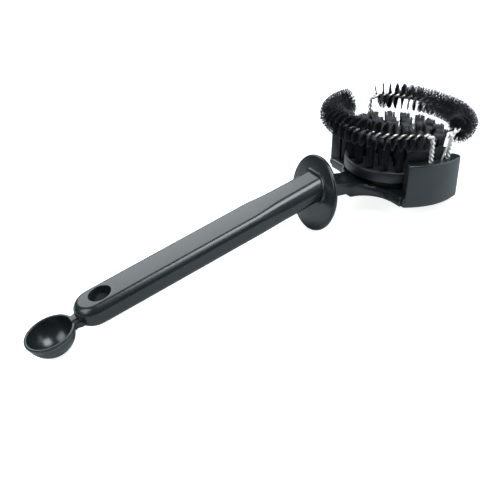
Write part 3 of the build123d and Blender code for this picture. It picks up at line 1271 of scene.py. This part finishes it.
def grow_filaments(name: str, roots: np.ndarray, knees: np.ndarray, tips: np.ndarray, radius: np.ndarray,
                   template: Template) -> Piece:
    """Copies the filament along many bent lines and joins the copies into one mesh.

    Args:
        name: The new object's name.
        roots: Where each filament starts, one row each, in millimetres.
        knees: The control points that bend them.
        tips: Where they end.
        radius: Each filament's radius at its root.
        template: The filament's points and faces.

    Returns:
        The object, with each point's place along its filament in the attribute "reach".
    """
    roots, knees, tips = (np.array(rows) * MM for rows in (roots, knees, tips))
    shape, faces = template
    count, size = len(roots), len(shape)
    t = shape[:, 2][None, :, None]
    line = ((1 - t) ** 2 * roots[:, None] + 2 * t * (1 - t) * knees[:, None] + t ** 2 * tips[:, None])
    axis = tips - roots
    axis /= np.linalg.norm(axis, axis=1)[:, None]
    other = np.where(np.abs(axis[:, 2:3]) > 0.9, np.array([[1.0, 0, 0]]), np.array([[0, 0, 1.0]]))
    side = np.cross(axis, other)
    side /= np.linalg.norm(side, axis=1)[:, None]
    third = np.cross(axis, side)
    round_place = (shape[None, :, 0, None] * side[:, None] + shape[None, :, 1, None] * third[:, None])
    points = (line + round_place * (radius * MM)[:, None, None]).reshape(-1, 3)
    all_faces = [tuple(base + v for v in face) for base in range(0, count * size, size) for face in faces]
    piece = link_mesh(name, points.tolist(), [], all_faces)
    reach = piece.data.attributes.new("reach", "FLOAT", "POINT")
    reach.data.foreach_set("value", np.tile(shape[:, 2], count).astype(np.float32))
    bpy.ops.object.shade_smooth()
    return piece


@dataclass
class ScreenBrush:
    """Round base with rings of nylon tufts: each ring's name, count, radius and lean in degrees."""

    places: Places
    base_radius: float = 24.0
    rim: float = 0.6
    spigot_radius: float = 7.0
    spigot_low: float = 2.8
    seat: float = 8.2
    rings: tuple[tuple[str, int, float, float], ...] = (
        ("centre", 1, 0.0, 0.0), ("inner", 6, 7.0, 1.3), ("middle", 12, 14.0, 2.7), ("outer", 18, 20.9, 4.0))
    filaments: int = 118
    root_spread: float = 1.75
    tip_spread: float = 2.75
    filament_radius: float = 0.14

    def build_base(self) -> Piece:
        """Models the base and drills a countersunk hole for each tuft.

        Returns:
            The base.
        """
        top, r, rim = self.places.base_high, self.base_radius, self.rim
        spigot, low, seat = self.spigot_radius, self.spigot_low, self.seat
        base = spin_profile("brush_base_disc", [
            (0.0, low), (spigot - 0.5, low), (spigot, low + 0.5), (spigot, seat),
            (r - 0.5, seat), (r - 0.12, seat + 0.12), (r, seat + 0.5), (r, top - rim - 0.2),
            (r - 0.1, top - rim + 0.05), (r - rim + 0.05, top - 0.1), (r - rim - 0.2, top), (0.0, top)],
            72, closed=False)
        drills = []
        for _, count, ring, _ in self.rings:
            for turn in (FULL_TURN * k / count for k in range(count)):
                deselect()
                bpy.ops.mesh.primitive_cone_add(
                    vertices=14, radius1=1.35 * MM, radius2=1.75 * MM, depth=1.6 * MM,
                    location=(ring * math.cos(turn) * MM, ring * math.sin(turn) * MM, (top - 0.5) * MM))
                drills.append(bpy.context.object)
        cutter = join(drills, "tuft_drills")
        bpy.ops.object.transform_apply(location=True, rotation=True, scale=True)
        cut(base, cutter)
        smooth(base, 30)
        return base

    def build_tufts(self, name: str, count: int, ring: float, lean: float, rng: np.random.Generator,
                    template: Template) -> Piece:
        """Models one ring of tufts, filament by filament.

        Args:
            name: The ring's name.
            count: How many tufts it has.
            ring: Its radius, in millimetres.
            lean: How far its tufts lean outwards, in degrees.
            rng: The source of the random draws.
            template: The filament's points and faces.

        Returns:
            The tufts.
        """
        top, tip = self.places.base_high, self.places.tuft_tip
        rows = []
        for turn in (FULL_TURN * k / count for k in range(count)):
            out = np.array([math.cos(turn), math.sin(turn), 0.0])
            around = np.array([-math.sin(turn), math.cos(turn), 0.0])
            place = out * ring
            heading = out * math.tan(math.radians(lean + rng.normal(0, 1.2))) + around * rng.normal(0, 0.02)
            for _ in range(self.filaments):
                away, angle = math.sqrt(rng.random()), rng.random() * 2 * math.pi
                flat = (out * math.cos(angle) + around * math.sin(angle)) * away
                root = place + flat * self.root_spread + np.array([0, 0, top - 1.0])
                rise = tip - top - 0.15 - abs(rng.normal(0, 0.45))
                splay = flat * (self.tip_spread - self.root_spread + rng.normal(0, 0.18))
                end = place + flat * self.root_spread + splay + heading * rise + np.array([0, 0, top + rise])
                end[:2] += rng.normal(0, 0.16, 2)
                rows.append((root, (root + end) / 2 - splay * 0.35 + rng.normal(0, 0.10, 3), end))
        radius = self.filament_radius * rng.uniform(0.85, 1.15, len(rows))
        return grow_filaments(f"{name}_tufts", *zip(*rows), radius, template)

    def make(self) -> None:
        """Builds and dresses the base, the tufts and the anchors inside it."""
        dress(self.build_base(), Finish.BASE, "screen_brush", "brush_base", "base_spigot")
        rng = np.random.default_rng(SEED)
        template = filament_template(3)
        for name, count, ring, lean in self.rings:
            tufts = self.build_tufts(name, count, ring, lean, rng, template)
            dress(tufts, Finish.TUFT, "screen_brush", f"tufts_{name}")
            Finish.ANCHOR.cover(frame["nodes"][f"anchors_{name}"])


@dataclass
class WireBrush:
    """A twisted wire pair, bent into an arch, with nylon filaments caught in its twist."""

    places: Places
    arc: Arc
    leg_angle: float
    arc_pitch: float = 7.0
    leg_pitch: float = 4.2
    strand: float = 0.6
    arc_strand: float = 0.72
    corner: float = 3.0
    radius: float = 31.3
    leg_low: float = 8.0
    bristle: float = 6.75
    filament_radius: float = 0.135
    per_turn: int = 140
    bare: float = 2.2
    point_gap: float = 0.32

    @property
    def title(self) -> str:
        """The brush's name in the frame."""
        return self.arc.name.lower()

    def arc_radius(self, turn: float) -> float:
        """Radius of the hand-bent arc at an angle from its middle; the left side is positive.

        Args:
            turn: The angle.

        Returns:
            The radius, in millimetres.
        """
        if self.arc is Arc.HANDLE_SIDE:
            return self.radius - 0.2
        edge = abs(turn) / math.radians(57)
        bulge = math.sin(min(1.35, edge) * QUARTER) ** 2
        return self.radius - 1.3 + bulge * (2.9 if turn > 0 else 2.2)

    def arc_point(self, turn: float) -> Point:
        """The arc's point at an angle from its middle.

        Args:
            turn: The angle; the left side is positive.

        Returns:
            Its place, in millimetres.
        """
        r = self.arc_radius(turn)
        lift = 0.05 * math.cos(turn) if self.arc is Arc.FAR_SIDE else 0.0
        return self.arc.value * r * math.cos(turn), r * math.sin(turn), self.places.wire_height + lift

    def leg(self, way: int, turn: float) -> list[Point]:
        """Points from the arc's end, round the corner and down into the socket.

        Args:
            way: 1 for the left leg, -1 for the right one.
            turn: Angle of the arc's end from its middle.

        Returns:
            The points in order.
        """
        sign, bends = self.arc.value, 7
        x, y, level = self.arc_point(turn)
        outward = np.array([-sign * math.sin(turn) * way, math.cos(turn) * way])
        foot_r, angle = math.hypot(self.radius, self.corner), math.radians(self.leg_angle)
        foot = np.array([sign * foot_r * math.sin(angle), way * foot_r * math.cos(angle)])
        points = []
        for bend in (QUARTER * k / bends for k in range(1, bends + 1)):
            knee = np.array([x, y]) + outward * self.corner * math.sin(bend)
            points.append((*knee, level - self.corner * (1 - math.cos(bend))))
        for z in np.arange(level - self.corner - 1.0, self.leg_low, -1.0):
            blend = smoothstep(self.places.ledge + 0.5, level - self.corner, z)
            points.append((*(foot + (knee - foot) * blend), z))
        return points

    def centre_line(self) -> tuple[np.ndarray, np.ndarray]:
        """The wire's middle line.

        Returns:
            Points evenly spaced along it in millimetres, and each point's distance from the start.
        """
        half = math.radians(90 - self.leg_angle) - math.atan2(self.corner, self.radius)
        arc = [self.arc_point(turn) for turn in np.linspace(-half, half, 121)]
        line = np.array(self.leg(-1, -half)[::-1] + arc + self.leg(1, half))
        along = np.concatenate([[0], np.cumsum(np.linalg.norm(np.diff(line, axis=0), axis=1))])
        even = np.linspace(0, along[-1], int(along[-1] / self.point_gap))
        return rows_at(even, along, line), even

    def frames(self, points: np.ndarray) -> tuple[np.ndarray, np.ndarray]:
        """Two directions square to the line at each point, carried along it without twist.

        Args:
            points: The line's points.

        Returns:
            The first and the second direction at each point.
        """
        heading = np.gradient(points, axis=0)
        heading /= np.linalg.norm(heading, axis=1)[:, None]
        first = np.zeros_like(points)
        start = np.cross(heading[0], [0.0, 0.3, 1.0] if abs(heading[0][2]) < 0.9 else [1.0, 0, 0])
        first[0] = start / np.linalg.norm(start)
        for k in range(1, len(points)):
            carried = first[k - 1] - heading[k] * np.dot(first[k - 1], heading[k])
            first[k] = carried / np.linalg.norm(carried)
        return first, np.cross(heading, first)

    def on_leg(self, points: np.ndarray) -> np.ndarray:
        """Which points are below the corners."""
        return points[:, 2] < self.places.wire_height - self.corner

    def phase(self, points: np.ndarray, along: np.ndarray) -> np.ndarray:
        """Turn of the left-handed twist at each point, tighter on the legs."""
        pitch = np.where(self.on_leg(points), self.leg_pitch, self.arc_pitch)
        return -np.cumsum(FULL_TURN * np.gradient(along) / pitch)

    def build_strand(self, points: np.ndarray, first: np.ndarray, second: np.ndarray, phase: np.ndarray,
                     name: str) -> Piece:
        """Models one strand of the pair as a round bar along its helix, a little wider on the arc.

        Args:
            points: The middle line's points.
            first: A direction square to the line at each point.
            second: The other direction square to it.
            phase: Turn of the twist at each point.
            name: The strand's name.

        Returns:
            The strand.
        """
        apart = np.where(self.on_leg(points), self.strand, self.arc_strand)
        apart = np.convolve(apart, np.ones(9) / 9, "same")
        apart[:8] = apart[-8:] = self.strand
        helix = points + (first * np.cos(phase)[:, None] + second * np.sin(phase)[:, None]) * apart[:, None]
        curve = bpy.data.curves.new(name, "CURVE")
        curve.dimensions, curve.use_fill_caps = "3D", True
        curve.bevel_depth, curve.bevel_resolution = self.strand * MM, 2
        spline = curve.splines.new("POLY")
        spline.points.add(len(helix) - 1)
        for slot, spot in zip(spline.points, helix * MM):
            slot.co = (*spot, 1.0)
        link_new(name, curve)
        bpy.ops.object.convert(target="MESH")
        piece = bpy.context.object
        tidy(piece)
        bpy.ops.object.shade_smooth()
        return piece

    def build_loose_ends(self) -> Piece:
        """Models the thin wire ends, and one thick stub, that fan out of the ledge beside the far leg.

        Returns:
            The wire ends.
        """
        ledge, count = self.places.ledge, 5
        rows = []
        for k in range(count):
            root = np.array([2.5 + 0.10 * k, -31.6 + 0.10 * k, ledge - 0.8])
            tip = np.array([5.9 + 0.80 * k, -32.4 + 0.20 * k, ledge + 13.4 - 0.5 * k])
            rows.append((root, (root + tip) / 2 + np.array([-0.30 + 0.12 * k, 0.1, 0.2]), tip))
        root, tip = np.array([2.5, -31.5, ledge - 0.8]), np.array([3.4, -31.7, ledge + 3.0])
        rows.append((root, (root + tip) / 2, tip))
        size = np.array([0.14] * count + [0.42])
        return grow_filaments("loose_wire_ends", *zip(*rows), size, filament_template(4))

    def build_bristles(self, points: np.ndarray, along: np.ndarray, first: np.ndarray, second: np.ndarray,
                       phase: np.ndarray) -> Piece:
        """Models the filaments that stand out of the twist in a double spiral.

        Args:
            points: The middle line's points.
            along: Each point's distance from the start.
            first: A direction square to the line at each point.
            second: The other direction square to it.
            phase: Turn of the twist at each point.

        Returns:
            The filaments.
        """
        rng = np.random.default_rng(SEED + self.arc.value)
        on_arc = along[points[:, 2] > self.places.wire_height - 0.4]
        low, top = on_arc[0] + self.bare, on_arc[-1] - self.bare
        count = int((top - low) / self.arc_pitch * self.per_turn)
        places = np.linspace(low, top, count) + rng.normal(0, 0.03, count)
        turn = (np.interp(places, along, phase) + QUARTER + rng.normal(0, 0.025, count))[:, None]
        centre, a, b, run = (rows_at(places, along, grid)
                             for grid in (points, first, second, np.gradient(points, axis=0)))
        run /= np.linalg.norm(run, axis=1)[:, None]
        rows = []
        for way in (-1, 1):
            heading = (a * np.cos(turn) + b * np.sin(turn)) * way
            length = (self.bristle - np.abs(rng.normal(0, 0.25, count)))[:, None]
            slant = rng.normal(0, 0.022, count)[:, None]
            swirl = np.cross(run, heading) * rng.normal(0, 0.12, count)[:, None]
            rows.append((centre, centre + heading * (length * 0.55) + swirl,
                         centre + heading * length + run * (slant * length)))
        size = self.filament_radius * rng.uniform(0.85, 1.15, 2 * count)
        return grow_filaments(
            f"{self.title}_spiral", *(np.vstack(column) for column in zip(*rows)), size, filament_template(4))

    def make(self) -> None:
        """Builds and dresses the two strands and the spiral of filaments."""
        points, along = self.centre_line()
        first, second = self.frames(points)
        phase = self.phase(points, along)
        body = f"{self.title}_brush"
        for label, shift in (("upper", 0.0), ("lower", math.pi)):
            strand = self.build_strand(points, first, second, phase + shift, f"{self.title}_{label}_wire")
            dress(strand, Finish.WIRE, body, f"{self.title}_{label}_strand")
        if self.arc is Arc.FAR_SIDE:
            dress(self.build_loose_ends(), Finish.WIRE, body)
        dress(self.build_bristles(points, along, first, second, phase), Finish.SPIRAL, body,
              f"{self.title}_bristles")


def rows_at(places: np.ndarray, along: np.ndarray, grid: np.ndarray) -> np.ndarray:
    """Reads rows of three values between a line's points, at distances along it."""
    return np.column_stack([np.interp(places, along, grid[:, k]) for k in range(3)])


# ---- Studio ----
@dataclass
class Studio:
    """Camera, floor, soft lights and pale surroundings."""

    position: Point = (-242.90, -290.85, 155.22)
    angles: Point = (-29.2, 27.84, 0.82)
    lens: float = 56.84
    floor_lean: float = 13.8
    floor_corner: float = 15.6
    tint: Colour = (0.90, 0.965, 1.0)
    sky_seen: float = 1.0
    sky_light: float = 0.08
    aim: Point = (-0.07, 0.0, 0.0)
    lights: tuple[tuple[str, Point, float, float], ...] = (
        ("overhead", (-0.02, -0.16, 0.80), 0.50, 8.5),
        ("back", (-0.10, 0.78, 0.56), 0.60, 3.8),
        ("side", (0.66, -0.30, 0.36), 0.90, 6.5),
        ("low_left", (-0.70, 0.05, 0.35), 0.40, 2.6),
    )

    def build_camera(self) -> None:
        """Places the camera from its azimuth, elevation and roll."""
        az, el, roll = (math.radians(v) for v in self.angles)
        right = Vector((math.cos(az), math.sin(az), 0))
        back = Vector((math.sin(az) * math.cos(el), -math.cos(az) * math.cos(el), math.sin(el)))
        up = back.cross(right)
        data = bpy.data.cameras.new("camera")
        data.lens, data.sensor_width, data.sensor_fit = self.lens, 36.0, "HORIZONTAL"
        data.clip_start, data.clip_end = 0.01, 20.0
        camera = link_new("camera", data)
        camera.matrix_world = matrix_of(
            right * math.cos(roll) + up * math.sin(roll), up * math.cos(roll) - right * math.sin(roll), back,
            Vector(self.position) * MM)
        bpy.context.scene.camera = camera

    def build_floor(self, places: Places) -> None:
        """Lays the floor under the jaws' far edge and the spoon's bowl.

        Args:
            places: The places read from the frame.
        """
        deselect()
        bpy.ops.mesh.primitive_plane_add(size=1.0)
        floor = bpy.context.object
        floor.name = "floor"
        with editing(floor):
            bpy.ops.mesh.subdivide(number_cuts=8)
        place_mesh(floor, (
            Matrix.Translation(Vector((self.floor_corner, 0, places.base_low)) * MM)
            @ Matrix.Rotation(-math.radians(self.floor_lean), 4, "Y")
            @ Matrix.Translation((0, 0, -0.0002)) @ Matrix.Diagonal((4, 4, 1, 1))))
        floor.data.materials.append(self.floor_material())

    def floor_material(self) -> bpy.types.Material:
        """Matt paper that glows white to the eye and reads mid-grey in the brush's reflections.

        Returns:
            The floor's material.
        """
        coat = Coat("pale_floor")
        coat.drive("Base Color", coat.group(
            "Tone drift", Scale=3.0, Deep=(0.60, 0.635, 0.66), Pale=(0.62, 0.655, 0.68)))
        coat.drive("Roughness", 0.9)
        coat.drive("Specular IOR Level", 0.1)
        paper, both, seen, path = (coat.tree.nodes.new(f"ShaderNode{kind}") for kind in (
            "Emission", "AddShader", "MixShader", "LightPath"))
        paper.inputs["Color"].default_value = (1.0, 1.0, 1.0, 1)
        paper.inputs["Strength"].default_value = 0.88
        matt, ending = coat.shader.outputs[0], coat.find("OUTPUT_MATERIAL").inputs["Surface"]
        for source, target in (
                (paper.outputs[0], both.inputs[0]), (matt, both.inputs[1]),
                (path.outputs["Is Camera Ray"], seen.inputs[0]), (matt, seen.inputs[1]),
                (both.outputs[0], seen.inputs[2]), (seen.outputs[0], ending)):
            coat.tree.links.new(source, target)
        return coat.material

    def build_light(self, name: str, spot: Point, size: float, power: float) -> None:
        """Adds one square soft light that faces the middle of the brush.

        Args:
            name: The light's name.
            spot: Its place, in metres.
            size: Length of its side, in metres.
            power: Its power, in watts.
        """
        data = bpy.data.lights.new(name, "AREA")
        data.shape, data.size, data.energy, data.color = "SQUARE", size, power, self.tint
        place = Vector(spot)
        turn = (place - Vector(self.aim)).to_track_quat("Z", "Y").to_matrix().to_4x4()
        link_new(name, data).matrix_world = Matrix.Translation(place) @ turn

    def build_sky(self) -> None:
        """White surroundings, far darker for the light that they give than for the eye."""
        world = bpy.data.worlds.new("surroundings")
        bpy.context.scene.world = world
        world.use_nodes = True
        tree = world.node_tree
        ground = tree.nodes["Background"]
        ground.inputs["Color"].default_value = (1, 1, 1, 1)
        seen = tree.nodes.new("ShaderNodeLightPath").outputs["Is Camera Ray"]
        swing = maths(tree, "MULTIPLY", seen, self.sky_seen - self.sky_light)
        tree.links.new(maths(tree, "ADD", swing, self.sky_light), ground.inputs["Strength"])

    def make(self, places: Places) -> None:
        """Builds the whole studio.

        Args:
            places: The places read from the frame.
        """
        self.build_camera()
        self.build_floor(places)
        for light in self.lights:
            self.build_light(*light)
        self.build_sky()
        bpy.context.scene.view_settings.view_transform = "Standard"


def main() -> None:
    """Builds the brush piece by piece, then the studio round it."""
    logging.basicConfig(level=logging.INFO, format="%(message)s")
    for make_group in (make_moulded_grain, make_handling_smudge, make_tone_drift, make_drawn_lines):
        make_group()
    places = Places.read()
    for maker in (Handle, SplashGuard, MeasuringSpoon, HeadFrame, ScreenBrush):
        maker(places).make()
    WireBrush(places, Arc.HANDLE_SIDE, 6.2).make()
    WireBrush(places, Arc.FAR_SIDE, 13.3).make()
    Studio().make(places)


if __name__ == "__main__":
    main()
